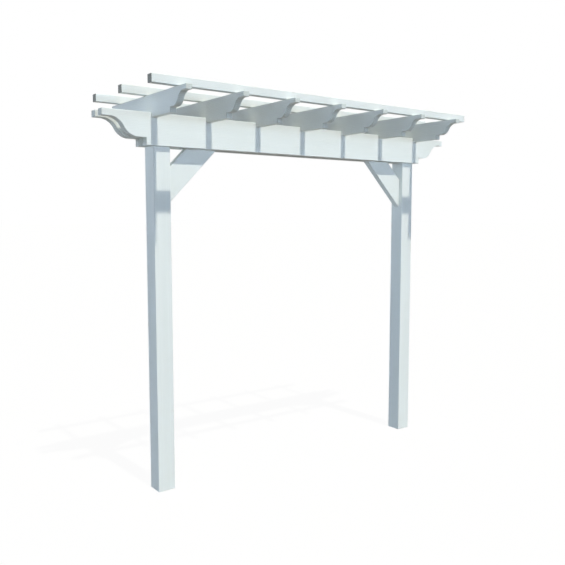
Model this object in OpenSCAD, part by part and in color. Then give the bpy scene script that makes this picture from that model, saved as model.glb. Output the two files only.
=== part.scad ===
// Two-post pergola: twin scrolled beams on square posts, seven notched rafters and three slats on top.
// Millimetres, +Z up, +X along the beams. The origin is the centre of the left post's foot.

/* [Posts] */
// Width of the square posts
post_w = 120; // [100:1:150]
// Distance between the post centres
post_spacing = 2285; // [2000:5:2700]
// Height of the seat that carries the beam boards
seat_z = 2285; // [2000:5:2600]
// Height of the tongue left standing between the boards
tongue_h = 150; // [100:1:165]

/* [Beams] */
// Height of a beam board
beam_h = 205; // [190:1:230]
// Thickness of a beam board
beam_t = 55; // [45:1:65]
// Gap between the two boards, filled by the tongues and braces
beam_gap = 50; // [40:1:60]
// Reach of the boards past the post centres
beam_reach = 407; // [380:1:500]
// Height of the lip at the tip of a board
beam_lip = 42; // [35:1:55]
// Level part of the underside behind the lip
beam_flat = 47; // [30:1:60]
// Length of the double curve
beam_curve = 190; // [170:1:200]
// Level part of the underside between the curve and the step
beam_land = 55; // [40:1:70]
// Height of the square step
beam_step = 48; // [40:1:55]

/* [Rafters] */
// Distance between the rafter centres
rafter_spacing = 400; // [360:1:410]
// Thickness of a rafter
rafter_t = 43; // [35:1:60]
// Height of a rafter
rafter_h = 143; // [130:1:160]
// Depth of the notches over the beam boards
rafter_notch = 30; // [20:1:40]
// Length of a rafter
rafter_l = 1060; // [1000:10:1200]
// Height of the lip at the tip of a rafter
rafter_lip = 32; // [26:1:40]
// Level part of the underside behind the lip
rafter_flat = 35; // [20:1:50]
// Length of the double curve
rafter_curve = 127; // [110:1:140]
// Level part of the underside between the curve and the step
rafter_land = 34; // [20:1:45]
// Height of the square step
rafter_step = 33; // [26:1:40]

/* [Slats] */
// Width of a slat
slat_w = 50; // [40:1:60]
// Height of a slat
slat_h = 51; // [40:1:60]
// Distance between the slat centres
slat_spacing = 415; // [350:5:450]
// Reach of the slats past the outer rafter centres
slat_reach = 195; // [120:5:250]

/* [Braces] */
// Distance below the beam seat at which the lower edge meets the post
brace_leg = 370; // [330:5:420]
// Depth of a brace, square to its length
brace_w = 163; // [130:1:175]
// Distance that the head goes up between the boards
brace_head = 100; // [60:5:130]

/* [Hidden] */
mid_x = post_spacing / 2;
beam_l = post_spacing + 2 * beam_reach;
beam_pack = 2 * beam_t + beam_gap;
beam_top = seat_z + beam_h;
rafter_z = beam_top - rafter_notch;
rafter_top = rafter_z + rafter_h;
rafter_first = mid_x - 3 * rafter_spacing;
slat_l = 6 * rafter_spacing + 2 * slat_reach;
over = 10;
paint = [0.93, 0.94, 0.94];

// Waste cut from under the left end of a board: lip, level part, hollow, round, level part, step.
module scroll_waste(h, lip, level, curve, land, step) {
    drop = h - lip - step;
    radius = norm([curve, drop]) / 4 / sin(atan2(drop, curve));
    end = level + curve;
    difference() {
        union() {
            polygon([[-over, -over], [end + land, -over], [end + land, step], [end, step],
                [level + curve / 2, step + drop / 2], [level, h - lip], [-over, h - lip]]);
            translate([level, h - lip - radius])
                circle(r = radius, $fn = 128);
        }
        translate([end, step + radius])
            circle(r = radius, $fn = 128);
    }
}

// Side view of a board with both ends scrolled, its left tip at zero.
module scrolled_side(l, h, lip, level, curve, land, step) {
    difference() {
        square([l, h]);
        scroll_waste(h, lip, level, curve, land, step);
        translate([l, 0])
            mirror([1, 0])
                scroll_waste(h, lip, level, curve, land, step);
    }
}

// Square post with its top cut back on two faces to a tongue.
module post(x) {
    color(paint)
        translate([x, 0, 0]) {
            translate([-post_w / 2, -post_w / 2, 0])
                cube([post_w, post_w, seat_z]);
            translate([-post_w / 2, -beam_gap / 2, 0])
                cube([post_w, beam_gap, seat_z + tongue_h]);
        }
}

// Beam board whose front face is at y.
module beam(y) {
    color(paint)
        translate([-beam_reach, y + beam_t, seat_z])
            rotate([90, 0, 0])
                linear_extrude(beam_t)
                    scrolled_side(beam_l, beam_h, beam_lip, beam_flat, beam_curve, beam_land, beam_step);
}

// Knee brace of the left post, from the post's inner face up between the boards.
module brace() {
    rise = brace_leg + brace_head;
    cut = brace_w * sqrt(2);
    color(paint)
        translate([post_w / 2, beam_gap / 2, seat_z - brace_leg])
            rotate([90, 0, 0])
                linear_extrude(beam_gap)
                    polygon([[0, 0], [rise, rise], [rise - cut, rise], [0, cut]]);
}

// Rafter number i, counted from the left, with a notch over each beam board.
module rafter(i) {
    color(paint)
        translate([rafter_first + (i - 1) * rafter_spacing - rafter_t / 2, -rafter_l / 2, rafter_z])
            rotate([90, 0, 90])
                linear_extrude(rafter_t)
                    difference() {
                        scrolled_side(rafter_l, rafter_h, rafter_lip, rafter_flat, rafter_curve, rafter_land,
                            rafter_step);
                        translate([rafter_l / 2 - beam_pack / 2, -over])
                            square([beam_t, rafter_notch + over]);
                        translate([rafter_l / 2 + beam_gap / 2, -over])
                            square([beam_t, rafter_notch + over]);
                    }
}

// Square slat across the tops of the rafters, centred at y.
module slat(y) {
    color(paint)
        translate([mid_x - slat_l / 2, y - slat_w / 2, rafter_top])
            cube([slat_l, slat_w, slat_h]);
}

module left_post() {
    post(0);
}

module right_post() {
    post(post_spacing);
}

module front_beam() {
    beam(-beam_pack / 2);
}

module rear_beam() {
    beam(beam_gap / 2);
}

module left_brace() {
    brace();
}

module right_brace() {
    translate([post_spacing, 0, 0])
        mirror([1, 0, 0])
            brace();
}

module rafter_1() {
    rafter(1);
}

module rafter_2() {
    rafter(2);
}

module rafter_3() {
    rafter(3);
}

module rafter_4() {
    rafter(4);
}

module rafter_5() {
    rafter(5);
}

module rafter_6() {
    rafter(6);
}

module rafter_7() {
    rafter(7);
}

module front_slat() {
    slat(-slat_spacing);
}

module middle_slat() {
    slat(0);
}

module rear_slat() {
    slat(slat_spacing);
}

left_post();
right_post();
front_beam();
rear_beam();
left_brace();
right_brace();
rafter_1();
rafter_2();
rafter_3();
rafter_4();
rafter_5();
rafter_6();
rafter_7();
front_slat();
middle_slat();
rear_slat();
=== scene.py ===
# %% [markdown]
# # A white garden pergola on two posts
# This lesson dresses a finished construction. Every timber is already placed and sized in a packed
# frame, so nothing here is moved or resized. We saw each timber again as a clean mesh with eased
# edges and smooth scrolls, give it white paint over wood grain, and light it in a plain studio.

# %% Load the frame
import math

import bmesh
import bpy
from mathutils import Matrix, Vector


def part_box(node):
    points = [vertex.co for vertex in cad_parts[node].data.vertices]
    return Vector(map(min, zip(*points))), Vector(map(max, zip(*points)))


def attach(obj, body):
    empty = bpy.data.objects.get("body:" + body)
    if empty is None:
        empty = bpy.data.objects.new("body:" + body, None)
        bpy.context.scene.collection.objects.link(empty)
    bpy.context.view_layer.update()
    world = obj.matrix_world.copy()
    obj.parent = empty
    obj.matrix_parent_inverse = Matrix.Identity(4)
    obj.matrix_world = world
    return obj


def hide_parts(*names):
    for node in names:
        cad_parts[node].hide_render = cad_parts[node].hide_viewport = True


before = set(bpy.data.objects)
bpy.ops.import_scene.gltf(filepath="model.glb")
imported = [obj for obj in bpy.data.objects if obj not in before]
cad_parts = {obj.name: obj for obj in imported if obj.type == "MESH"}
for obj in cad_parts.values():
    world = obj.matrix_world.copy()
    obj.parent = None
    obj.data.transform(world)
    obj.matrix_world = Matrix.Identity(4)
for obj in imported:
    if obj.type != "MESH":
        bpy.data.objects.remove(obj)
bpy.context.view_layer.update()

print("nodes in the frame:", len(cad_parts))

# %% [markdown]
# ## Drawing with a saw
# A timber is an outline with a thickness. We could type its corners into a list, but a carpenter
# thinks in cuts: so far straight, so far round a template. Two small helpers do the same.
# `straight` extrudes one vertex and moves it, and `round_cut` spins one vertex about a centre. Both
# return the end of the cut, so that cuts follow each other like steps of a walk. An outline is
# always drawn in the X-Z plane.

# %% Cuts
OUTWARD = Vector((0, 1, 0))
CURVE_STEPS = 14


def straight(bm, vert, along, up):
    end = bmesh.ops.extrude_vert_indiv(bm, verts=[vert])["verts"][0]
    bmesh.ops.translate(bm, verts=[end], vec=(along, 0, up))
    return end


def round_cut(bm, vert, centre, angle):
    cut = bmesh.ops.spin(bm, geom=[vert], cent=centre, axis=OUTWARD, angle=angle, steps=CURVE_STEPS)
    return cut["geom_last"][0]


print("steps in a round cut:", CURVE_STEPS)

# %% [markdown]
# ## From outline to timber
# Planed timber never has knife-sharp corners: the arrises are eased with sandpaper so that paint
# holds on them. A Bevel modifier could round every edge, but a saw leaves inner corners sharp. So
# after the outline is filled and extruded, we bevel only the edges that stand out. Boards are drawn
# with their grain along X, so a face that looks along X was cut across the grain. Such faces take
# paint differently, and they get a material slot of their own, whose darker colour adds painted
# shade.

# %% Fill, extrude and ease
WELD = 1e-5
EASED = 0.003
EASE_STEPS = 3
SHARP = math.radians(25)
PAINTED, SAWN = 0, 1
ACROSS_GRAIN = 0.15


def corners(geometry):
    return [part for part in geometry if isinstance(part, bmesh.types.BMVert)]


def extrude_outline(bm, thickness):
    bmesh.ops.remove_doubles(bm, verts=bm.verts[:], dist=WELD)
    bmesh.ops.contextual_create(bm, geom=bm.edges[:])
    far_side = bmesh.ops.extrude_face_region(bm, geom=bm.faces[:])["geom"]
    bmesh.ops.translate(bm, verts=corners(far_side), vec=(0, thickness, 0))
    bmesh.ops.recalc_face_normals(bm, faces=bm.faces[:])


def ease_edges(bm):
    arrises = [e for e in bm.edges if e.is_convex and e.calc_face_angle(0) > SHARP]
    bmesh.ops.bevel(bm, geom=arrises, offset=EASED, offset_type="OFFSET", affect="EDGES",
                    segments=EASE_STEPS, profile=0.5, material=-1)


def mark_sawn_ends(bm):
    for face in bm.faces:
        face.material_index = SAWN if abs(face.normal.x) > ACROSS_GRAIN else PAINTED


print(f"arrises are eased by {EASED * 1000:.0f} mm")

# %% [markdown]
# ## A timber takes its place
# On the real pergola a finished timber is carried to its place and fixed there. We could move the
# object, but here the place goes into the mesh and the object stays at the origin, so that a
# pattern on Object coordinates never slides. A Weighted Normal modifier keeps the big faces flat in
# the light while the eased edges stay round. Each piece then rides on a body, and the node of the
# frame that it stands in for is hidden.

# %% Place a timber
def timber(bm, name, place, turn=0.0):
    bmesh.ops.rotate(bm, verts=bm.verts[:], matrix=Matrix.Rotation(turn, 3, "Z"))
    bmesh.ops.translate(bm, verts=bm.verts[:], vec=place)
    mesh = bpy.data.meshes.new(name)
    bm.to_mesh(mesh)
    bm.free()
    mesh.shade_smooth()
    piece = bpy.data.objects.new(name, mesh)
    bpy.context.scene.collection.objects.link(piece)
    piece.modifiers.new("flat faces", "WEIGHTED_NORMAL").keep_sharp = True
    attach(piece, "root")
    return piece


def stand_in_for(piece, node):
    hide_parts(node)
    low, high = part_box(node)
    size = [round((b - a) * 1000) for a, b in zip(low, high)]
    print(f"{piece.name}: {len(piece.data.polygons)} faces, {size} mm")


# %% [markdown]
# ## The scroll
# The ends of the beams and rafters share one pattern: a square lip, a hollow that runs into a
# round, and a square step. A curve object could trace it by eye. But the hollow and the round are
# two equal arcs that meet at the middle of the curve, so one radius and one angle draw both. Only
# half of a board is drawn, from the middle of its top to the middle of its underside, and `mirror`
# makes the other half.

# %% Half a scrolled board
def scroll(bm, vert, drop, flat, curve, land):
    slope = math.atan2(drop, curve)
    radius = math.hypot(curve, drop) / 4 / math.sin(slope)
    across = radius * Vector((math.sin(2 * slope), 0, math.cos(2 * slope)))
    vert = straight(bm, vert, flat, 0)
    vert = round_cut(bm, vert, vert.co - Vector((0, 0, radius)), 2 * slope)
    vert = round_cut(bm, vert, vert.co + across, -2 * slope)
    return straight(bm, vert, land, 0)


def scrolled_half(bm, length, height, lip, flat, curve, land, step):
    vert = bm.verts.new((0, 0, height))
    vert = straight(bm, vert, -length / 2, 0)
    vert = straight(bm, vert, 0, -lip)
    vert = scroll(bm, vert, height - lip - step, flat, curve, land)
    return straight(bm, vert, 0, -step)


def both_halves(bm):
    bmesh.ops.mirror(bm, geom=bm.verts[:] + bm.edges[:], axis="X", merge_dist=WELD)


# %% [markdown]
# ## Beams
# Two boards on edge carry everything. They sit on the shoulders of the posts, one on each side of
# the tongues. The second could be a copy of the first, moved back. But each is drawn to its own box
# in the frame, so both stay right if the frame changes, and only the pattern of the scroll is
# written here.

# %% Beams
BEAM_SCROLL = {"lip": 0.042, "flat": 0.047, "curve": 0.190, "land": 0.055, "step": 0.048}


def beam(node):
    low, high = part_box(node)
    bm = bmesh.new()
    vert = scrolled_half(bm, high.x - low.x, high.z - low.z, **BEAM_SCROLL)
    straight(bm, vert, -vert.co.x, 0)
    both_halves(bm)
    extrude_outline(bm, high.y - low.y)
    ease_edges(bm)
    mark_sawn_ends(bm)
    piece = timber(bm, node + "_board", ((low.x + high.x) / 2, low.y, low.z))
    stand_in_for(piece, node)
    return piece


beams = [beam("front_beam"), beam("rear_beam")]

# %% [markdown]
# ## Rafters
# Seven boards lie across the beams. Each has two notches that drop over the beam boards, so it
# can't slide. A Boolean could cut them, but as part of the outline they leave clean edges to ease.
# Their places come from the boxes of the beams, so they fit wherever the beams are. A rafter is
# drawn like a beam and then turned a quarter, because it runs across the walkway.

# %% Rafters
RAFTERS = [f"rafter_{number}" for number in range(1, 8)]
RAFTER_SCROLL = {"lip": 0.032, "flat": 0.035, "curve": 0.127, "land": 0.034, "step": 0.033}
QUARTER_TURN = math.radians(90)


def rafter(node):
    low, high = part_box(node)
    rear_low, rear_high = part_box("rear_beam")
    notch = rear_high.z - low.z
    bm = bmesh.new()
    vert = scrolled_half(bm, high.y - low.y, high.z - low.z, **RAFTER_SCROLL)
    vert = straight(bm, vert, -rear_high.y - vert.co.x, 0)
    vert = straight(bm, vert, 0, notch)
    vert = straight(bm, vert, rear_high.y - rear_low.y, 0)
    vert = straight(bm, vert, 0, -notch)
    straight(bm, vert, -vert.co.x, 0)
    both_halves(bm)
    extrude_outline(bm, high.x - low.x)
    ease_edges(bm)
    mark_sawn_ends(bm)
    piece = timber(bm, node + "_board", (high.x, 0, low.z), QUARTER_TURN)
    stand_in_for(piece, node)
    return piece


rafters = [rafter(node) for node in RAFTERS]

# %% [markdown]
# ## Posts
# A post is a square timber with its top cut back on two faces. What stays in the middle is the
# tongue, which stands between the two beam boards. The shoulders beside it carry the boards. The
# tongue could be a block of its own on top, but a real post is one timber. So the outline shows the
# post from the end of the beams, and it is turned a quarter like a rafter.

# %% Posts
def post(node):
    low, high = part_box(node)
    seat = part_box("front_beam")[0].z
    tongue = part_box("rear_beam")[0].y
    bm = bmesh.new()
    vert = bm.verts.new((0, 0, high.z))
    vert = straight(bm, vert, -tongue, 0)
    vert = straight(bm, vert, 0, seat - high.z)
    vert = straight(bm, vert, low.y + tongue, 0)
    vert = straight(bm, vert, 0, -seat)
    straight(bm, vert, -low.y, 0)
    both_halves(bm)
    extrude_outline(bm, high.x - low.x)
    ease_edges(bm)
    piece = timber(bm, node + "_timber", (high.x, 0, 0), QUARTER_TURN)
    stand_in_for(piece, node)
    return piece


posts = [post("left_post"), post("right_post")]

# %% [markdown]
# ## Knee braces
# A brace stops the frame from racking sideways. A turned bar that sinks into the post would look
# much the same, but a carpenter cuts the ends to fit. So the outline is four cuts: plumb against
# the post, two long edges at 45 degrees, and level at the head, between the beam boards. The right
# brace mirrors the left one, so `side` only changes the direction along X.

# %% Braces
BRACE_DEPTH = 0.163


def brace(node, side):
    low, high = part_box(node)
    rise = high.z - low.z
    plumb = BRACE_DEPTH * math.sqrt(2)
    bm = bmesh.new()
    foot = bm.verts.new((0, 0, 0))
    vert = straight(bm, foot, side * rise, rise)
    vert = straight(bm, vert, -side * plumb, 0)
    vert = straight(bm, vert, side * (plumb - rise), plumb - rise)
    straight(bm, vert, 0, -plumb)
    extrude_outline(bm, high.y - low.y)
    ease_edges(bm)
    piece = timber(bm, node + "_timber", (low.x if side > 0 else high.x, low.y, low.z))
    stand_in_for(piece, node)
    return piece


braces = [brace("left_brace", 1), brace("right_brace", -1)]

# %% [markdown]
# ## Slats
# Three square slats lie across the rafters and give climbing plants something to hold. They have no
# outline worth drawing, so each starts as a cube that is stretched to its box and eased. They were
# cut to length after painting, so their ends stayed bare, and their dark grey is partly painted
# shade.

# %% Slats
SLATS = ["front_slat", "middle_slat", "rear_slat"]


def middle(node):
    low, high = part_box(node)
    return (low + high) / 2


def slat(node):
    low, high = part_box(node)
    bm = bmesh.new()
    bmesh.ops.create_cube(bm, size=1)
    bmesh.ops.scale(bm, verts=bm.verts[:], vec=high - low)
    ease_edges(bm)
    mark_sawn_ends(bm)
    piece = timber(bm, node + "_timber", middle(node))
    stand_in_for(piece, node)
    return piece


slats = [slat(node) for node in SLATS]

# %% [markdown]
# ## Screw heads
# One screw at each crossing holds a slat to a rafter. The heads are sunk, filled and painted over,
# so all that shows of them is a shallow dimple inside a low rim. A bump in the paint could hint at
# them, but only a shape keeps them in the mesh. One profile is spun into a closed head, and copies
# of it go to every crossing, all in one mesh.

# %% Screw heads
DIMPLE_RADIUS = 0.0035
RIM_RADIUS = 0.00425
HEAD_RADIUS = 0.006
DIMPLE_HEIGHT = 0.0003
RIM_HEIGHT = 0.0008
SUNK = 0.001
HEAD_STEPS = 20


def screw_head(bm):
    vert = bm.verts.new((0, 0, DIMPLE_HEIGHT))
    vert = straight(bm, vert, DIMPLE_RADIUS, 0)
    vert = straight(bm, vert, RIM_RADIUS - DIMPLE_RADIUS, RIM_HEIGHT - DIMPLE_HEIGHT)
    vert = straight(bm, vert, HEAD_RADIUS - RIM_RADIUS, -RIM_HEIGHT)
    vert = straight(bm, vert, 0, -SUNK)
    straight(bm, vert, -HEAD_RADIUS, 0)
    bmesh.ops.spin(bm, geom=bm.verts[:] + bm.edges[:], axis=(0, 0, 1), cent=(0, 0, 0),
                   angle=math.tau, steps=HEAD_STEPS, use_merge=True)
    bmesh.ops.remove_doubles(bm, verts=bm.verts[:], dist=WELD)
    bmesh.ops.recalc_face_normals(bm, faces=bm.faces[:])


def screw_heads():
    bm = bmesh.new()
    screw_head(bm)
    pattern = bm.verts[:] + bm.edges[:] + bm.faces[:]
    for slat_node in SLATS:
        for rafter_node in RAFTERS:
            crossing = (middle(rafter_node).x, middle(slat_node).y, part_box(slat_node)[1].z)
            head = bmesh.ops.duplicate(bm, geom=pattern)["geom"]
            bmesh.ops.translate(bm, verts=corners(head), vec=crossing)
    bmesh.ops.delete(bm, geom=corners(pattern), context="VERTS")
    return timber(bm, "slat_screws", (0, 0, 0))


screws = screw_heads()
print("screw heads:", len(SLATS) * len(RAFTERS), "faces:", len(screws.data.polygons))

# %% [markdown]
# ## A helper for nodes
# Every finish below is a small tree of nodes. It could be wired by hand in the editor, but written
# down it comes out the same each time. This helper makes one node, sets it and fills in its
# sockets, so that a cell reads like a list of what the finish is made of. A socket goes by its
# name, or by its number where two have the same name.

# %% One node at a time
def add(tree, kind, sockets=None, **settings):
    node = tree.nodes.new("ShaderNode" + kind)
    for name, value in settings.items():
        setattr(node, name, value)
    for socket, value in (sockets or {}).items():
        if isinstance(value, bpy.types.NodeSocket):
            tree.links.new(value, node.inputs[socket])
        else:
            node.inputs[socket].default_value = value
    return node


# %% [markdown]
# ## Grain under the paint
# Two coats of paint don't hide wood. Growth rings and fibres still telegraph through as faint
# ridges, the film is thinner on them, and a board has broad bands where it drank more paint. A
# picture of wood could be laid on, but it would stretch over the scrolls and repeat, so the grain
# is worked out from the place. All timbers share it, so it is one node group. It takes a place
# whose X runs along the grain and squeezes X, so that every pattern comes out long and narrow. The
# rings are a Wave texture about the grain's axis, and the fibres and bands are noise.

# %% Node group for the grain
ALONG_GRAIN = 0.06
RING_SCALE, RING_WOBBLE, WOBBLE_SCALE = 32, 5, 0.6
FIBRE_SCALE, FIBRE_SHARE = 170, 0.6
BAND_SCALE, BAND_SHARE = 14, 0.55
FINE_DETAIL, BROAD_DETAIL = 3, 2
THIN_AT, THIN_COAT, THIN_ROUGHNESS = 0.25, (0.775, 0.803, 0.785, 1), 0.6
FULL_AT, FULL_COAT, FULL_ROUGHNESS = 0.75, (0.835, 0.862, 0.835, 1), 0.42
GRAIN_OUTPUTS = {"Paint": "Color", "Rings": "Float", "Roughness": "Float", "Height": "Float"}


def blend(tree, first, second, share):
    mix = add(tree, "Mix", {"Factor": share, "A": first, "B": second}, data_type="FLOAT")
    return mix.outputs["Result"]


def grain_group():
    tree = bpy.data.node_groups.new("painted_grain", "ShaderNodeTree")
    tree.interface.new_socket("Place", in_out="INPUT", socket_type="NodeSocketVector")
    for name, kind in GRAIN_OUTPUTS.items():
        tree.interface.new_socket(name, in_out="OUTPUT", socket_type="NodeSocket" + kind)
    place = tree.nodes.new("NodeGroupInput").outputs["Place"]
    long = add(tree, "Mapping", {"Vector": place, "Scale": (ALONG_GRAIN, 1, 1)}).outputs["Vector"]
    rings = add(tree, "TexWave", {"Vector": long, "Scale": RING_SCALE, "Distortion": RING_WOBBLE,
                                  "Detail": FINE_DETAIL, "Detail Scale": WOBBLE_SCALE},
                wave_type="RINGS", rings_direction="X", wave_profile="SAW").outputs["Fac"]
    fibres = add(tree, "TexNoise", {"Vector": long, "Scale": FIBRE_SCALE, "Detail": FINE_DETAIL})
    bands = add(tree, "TexNoise", {"Vector": long, "Scale": BAND_SCALE, "Detail": BROAD_DETAIL})
    ridges = blend(tree, rings, fibres.outputs["Fac"], FIBRE_SHARE)
    coat = blend(tree, ridges, bands.outputs["Fac"], BAND_SHARE)
    paint = add(tree, "ValToRGB", {"Fac": coat})
    thin, full = paint.color_ramp.elements
    thin.position, thin.color = THIN_AT, THIN_COAT
    full.position, full.color = FULL_AT, FULL_COAT
    gloss = add(tree, "MapRange", {"Value": coat, "From Min": THIN_AT, "From Max": FULL_AT,
                                   "To Min": THIN_ROUGHNESS, "To Max": FULL_ROUGHNESS})
    out = tree.nodes.new("NodeGroupOutput")
    tree.links.new(paint.outputs["Color"], out.inputs["Paint"])
    tree.links.new(rings, out.inputs["Rings"])
    tree.links.new(gloss.outputs["Result"], out.inputs["Roughness"])
    tree.links.new(ridges, out.inputs["Height"])
    return tree


painted_grain = grain_group()
print("painted grain:", len(painted_grain.nodes), "nodes")

# %% [markdown]
# ## White paint
# The finish is the group, a bump for the ridges and a satin shader. What changes from timber to
# timber is only the way the grain runs: up a post, along a beam or slat, across on a rafter, and on
# the slant in a brace. Each timber could have a material of its own, but a Mapping node that turns
# the grain onto X needs only one for each direction.

# %% Paint for each direction of the grain
RIDGE_HEIGHT = 0.0006
SLANT = math.radians(45)
ALONG_X = (0, 0, 0)
ALONG_Y = (0, 0, -QUARTER_TURN)
ALONG_Z = (0, QUARTER_TURN, 0)


def grain_shader(name, turn):
    material = bpy.data.materials.new(name)
    material.use_nodes = True
    tree = material.node_tree
    place = add(tree, "TexCoord").outputs["Object"]
    along = add(tree, "Mapping", {"Vector": place, "Rotation": turn}).outputs["Vector"]
    grain = add(tree, "Group", {"Place": along}, node_tree=painted_grain)
    bump = add(tree, "Bump", {"Height": grain.outputs["Height"], "Distance": RIDGE_HEIGHT})
    shader = tree.nodes["Principled BSDF"]
    tree.links.new(grain.outputs["Roughness"], shader.inputs["Roughness"])
    tree.links.new(bump.outputs["Normal"], shader.inputs["Normal"])
    return material, tree, grain, shader


def white_paint(name, turn):
    material, tree, grain, shader = grain_shader(name, turn)
    tree.links.new(grain.outputs["Paint"], shader.inputs["Base Color"])
    return material


def coat_with(material, pieces):
    for piece in pieces:
        piece.data.materials.append(material)
    print(f"{material.name}: {len(pieces)} pieces")


coat_with(white_paint("paint_along_beams", ALONG_X), beams + slats + [screws])
coat_with(white_paint("paint_across_rafters", ALONG_Y), rafters)
coat_with(white_paint("paint_up_posts", ALONG_Z), posts)
coat_with(white_paint("paint_on_left_brace", (0, SLANT, 0)), braces[:1])
coat_with(white_paint("paint_on_right_brace", (0, QUARTER_TURN + SLANT, 0)), braces[1:])

# %% [markdown]
# ## Sawn ends
# End grain drinks paint like a bundle of straws. On the scrolls of the beams and rafters the coat
# is therefore thin, and the wood greys it; the grey is deepened with painted shade. The bare ends of
# the slats are a dark grey, partly painted shade. A flat grey would do from afar. But the same group
# already has the rings and the bump, so only the two colours of early and late wood are new.

# %% End grain, thinly painted and bare, darkened with painted shade
# These greys on the scroll ends hold painted shade as well as the grey of thin paint on end grain.
THIN_PAINT_AND_SHADE_ON_END_GRAIN = (0.59, 0.62, 0.59, 1), (0.67, 0.70, 0.67, 1)
# The dark grey of the bare slat ends is partly painted shade.
BARE_END_GRAIN_AND_SHADE = (0.19, 0.20, 0.185, 1), (0.28, 0.29, 0.27, 1)


def end_grain_and_shade(name, early_and_late, turn):
    material, tree, grain, shader = grain_shader(name, turn)
    wood = add(tree, "ValToRGB", {"Fac": grain.outputs["Rings"]})
    for element, colour in zip(wood.color_ramp.elements, early_and_late):
        element.color = colour
    tree.links.new(wood.outputs["Color"], shader.inputs["Base Color"])
    return material


# The scroll ends of beams and rafters are darkened partly by painted shade.
coat_with(end_grain_and_shade("thin_paint_and_shade_on_beam_ends", THIN_PAINT_AND_SHADE_ON_END_GRAIN, ALONG_X), beams)
coat_with(end_grain_and_shade("thin_paint_and_shade_on_rafter_ends", THIN_PAINT_AND_SHADE_ON_END_GRAIN, ALONG_Y), rafters)
# The slat ends are darkened partly by painted shade.
coat_with(end_grain_and_shade("bare_and_shaded_slat_ends", BARE_END_GRAIN_AND_SHADE, ALONG_X), slats)

# %% [markdown]
# ## White to the eye
# The pergola stands in front of plain white. A white floor and wall under strong lamps would give
# that, but they would flood the object with light. So the surroundings are white only to the eye of
# the camera and in reflections, and the light that they give is set apart from that. One helper
# tells the two cases apart, and the other chooses a shader for each.

# %% What is seen and what gives light
scene = bpy.context.scene
scene.view_settings.view_transform = "Standard"


def seen_directly(tree):
    path = add(tree, "LightPath")
    seen = path.outputs["Is Camera Ray"]
    for other in ("Is Glossy Ray", "Is Transmission Ray"):
        either = add(tree, "Math", {0: seen, 1: path.outputs[other]}, operation="MAXIMUM")
        seen = either.outputs["Value"]
    return seen


def choose(tree, factor, light, shown):
    return add(tree, "MixShader", {"Fac": factor, 1: light, 2: shown}).outputs["Shader"]


print("view transform:", scene.view_settings.view_transform)

# %% [markdown]
# ## Floor
# The ground is one wide sheet. A curved backdrop would hide the line where floor and wall meet, but
# here both are the same white, so there is no line to hide. The floor keeps a little of a plain
# diffuse surface, just enough for the object's shadow.

# %% Floor
FLOOR_SIZE = 400.0
FLOOR_BOUNCE = (0.17, 0.17, 0.17, 1)
FLOOR_SHADE = (0.9, 0.9, 0.9, 1)
FLOOR_SHADOW = 0.04


def white_ground():
    material = bpy.data.materials.new("floor_paint")
    material.use_nodes = True
    tree = material.node_tree
    tree.nodes.clear()
    bounce = add(tree, "BsdfDiffuse", {"Color": FLOOR_BOUNCE}).outputs["BSDF"]
    shade = add(tree, "BsdfDiffuse", {"Color": FLOOR_SHADE}).outputs["BSDF"]
    white = add(tree, "Emission").outputs["Emission"]
    shown = choose(tree, FLOOR_SHADOW, white, shade)
    ground = choose(tree, seen_directly(tree), bounce, shown)
    add(tree, "OutputMaterial", {"Surface": ground})
    return material


bm = bmesh.new()
bmesh.ops.create_grid(bm, x_segments=1, y_segments=1, size=FLOOR_SIZE / 2)
floor_mesh = bpy.data.meshes.new("floor")
bm.to_mesh(floor_mesh)
bm.free()
floor = bpy.data.objects.new("floor", floor_mesh)
floor_mesh.materials.append(white_ground())
scene.collection.objects.link(floor)
print("floor:", FLOOR_SIZE, "m wide")

# %% [markdown]
# ## Light all round
# A wide low glow stands round the object like the walls of a studio. An even sky could do this too,
# but the tops of the timbers already get the whole of the key light and would burn out under a
# bright ceiling. So the glow is strongest at the horizon and fades towards the zenith.

# %% Low glow
GLOW = 5.4
GLOW_TINT = (0.80, 1.0, 1.24, 1)
GLOW_FALL = 8
WHITE = (1, 1, 1, 1)

world = bpy.data.worlds.new("studio")
scene.world = world
world.use_nodes = True
tree = world.node_tree
tree.nodes.clear()
direction = add(tree, "TexCoord").outputs["Generated"]
height = add(tree, "SeparateXYZ", {"Vector": direction}).outputs["Z"]
depth = add(tree, "Math", {0: 1, 1: height}, operation="SUBTRACT", use_clamp=True)
fall = add(tree, "Math", {0: depth.outputs["Value"], 1: GLOW_FALL}, operation="POWER")
strength = add(tree, "Math", {0: fall.outputs["Value"], 1: GLOW}, operation="MULTIPLY")
glow = add(tree, "Background", {"Color": GLOW_TINT, "Strength": strength.outputs["Value"]})
white = add(tree, "Background", {"Color": WHITE})
sky = choose(tree, seen_directly(tree), glow.outputs["Background"], white.outputs["Background"])
add(tree, "OutputWorld", {"Surface": sky})
print("glow at the horizon:", GLOW)

# %% [markdown]
# ## Key light
# Daylight throws the shadows of the rafters down the face of the front beam. An area lamp would
# spread these shadows like a fan, so the key is a sun, whose rays are parallel. It stands high in
# front and a little to the right.

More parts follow.
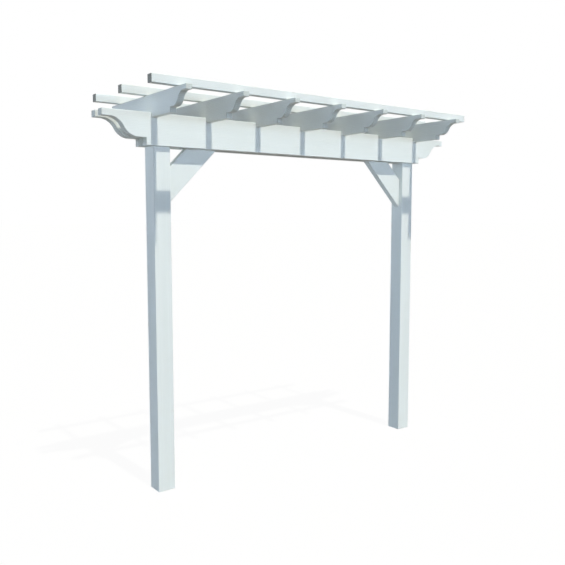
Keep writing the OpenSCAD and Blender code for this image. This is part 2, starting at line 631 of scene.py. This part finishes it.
# %% Key light
SUN_ELEVATION = math.radians(63)
SUN_DRIFT = 0.03
SUN_STRENGTH = 3.27
SUN_COLOUR = (1.0, 0.97, 0.86)
SUN_WIDTH = math.radians(1.2)


def sun(name, travel, strength, colour, width):
    lamp = bpy.data.lights.new(name, "SUN")
    lamp.energy = strength
    lamp.color = colour
    lamp.angle = width
    light = bpy.data.objects.new(name, lamp)
    light.rotation_euler = travel.to_track_quat("-Z", "Y").to_euler()
    scene.collection.objects.link(light)
    print(f"{name} light travels along", [round(part, 2) for part in travel.normalized()])


sun_travel = Vector((-SUN_DRIFT, 1, -math.tan(SUN_ELEVATION) * math.hypot(SUN_DRIFT, 1)))
sun("key", sun_travel, SUN_STRENGTH, SUN_COLOUR, SUN_WIDTH)

# %% [markdown]
# ## Fill from behind
# Seen from the back, the object would be all in shade and look flat. More glow would brighten it,
# but it would lighten the shadows in front too. A weak and very wide sun, low behind it and a little
# to the right, tells its faces apart there. No face that the camera sees is turned towards it.

# %% Fill light
FILL_TRAVEL = Vector((-0.45, -0.88, -0.12))
FILL_STRENGTH = 1.2
FILL_COLOUR = (1.0, 0.97, 0.92)
FILL_WIDTH = math.radians(30)

sun("fill", FILL_TRAVEL, FILL_STRENGTH, FILL_COLOUR, FILL_WIDTH)

# %% [markdown]
# ## Camera
# The camera stands in front and to the left, a little above eye level, and looks slightly down. A
# tracking constraint could aim it, but plain angles keep it level.

# %% Camera
PICTURE_PIXELS = 565
FOCAL_PIXELS = 686.3
SENSOR_WIDTH = 36
CAMERA_PLACE = (-2.0617, -4.1020, 1.8308)
CAMERA_TILT = math.radians(90 - 5.424)
CAMERA_TURN = math.radians(-36.879)

camera_data = bpy.data.cameras.new("camera")
camera_data.sensor_width = SENSOR_WIDTH
camera_data.lens = SENSOR_WIDTH * FOCAL_PIXELS / PICTURE_PIXELS
camera = bpy.data.objects.new("camera", camera_data)
camera.location = CAMERA_PLACE
camera.rotation_euler = (CAMERA_TILT, 0, CAMERA_TURN)
scene.collection.objects.link(camera)
scene.camera = camera
print(f"lens: {camera_data.lens:.1f} mm")
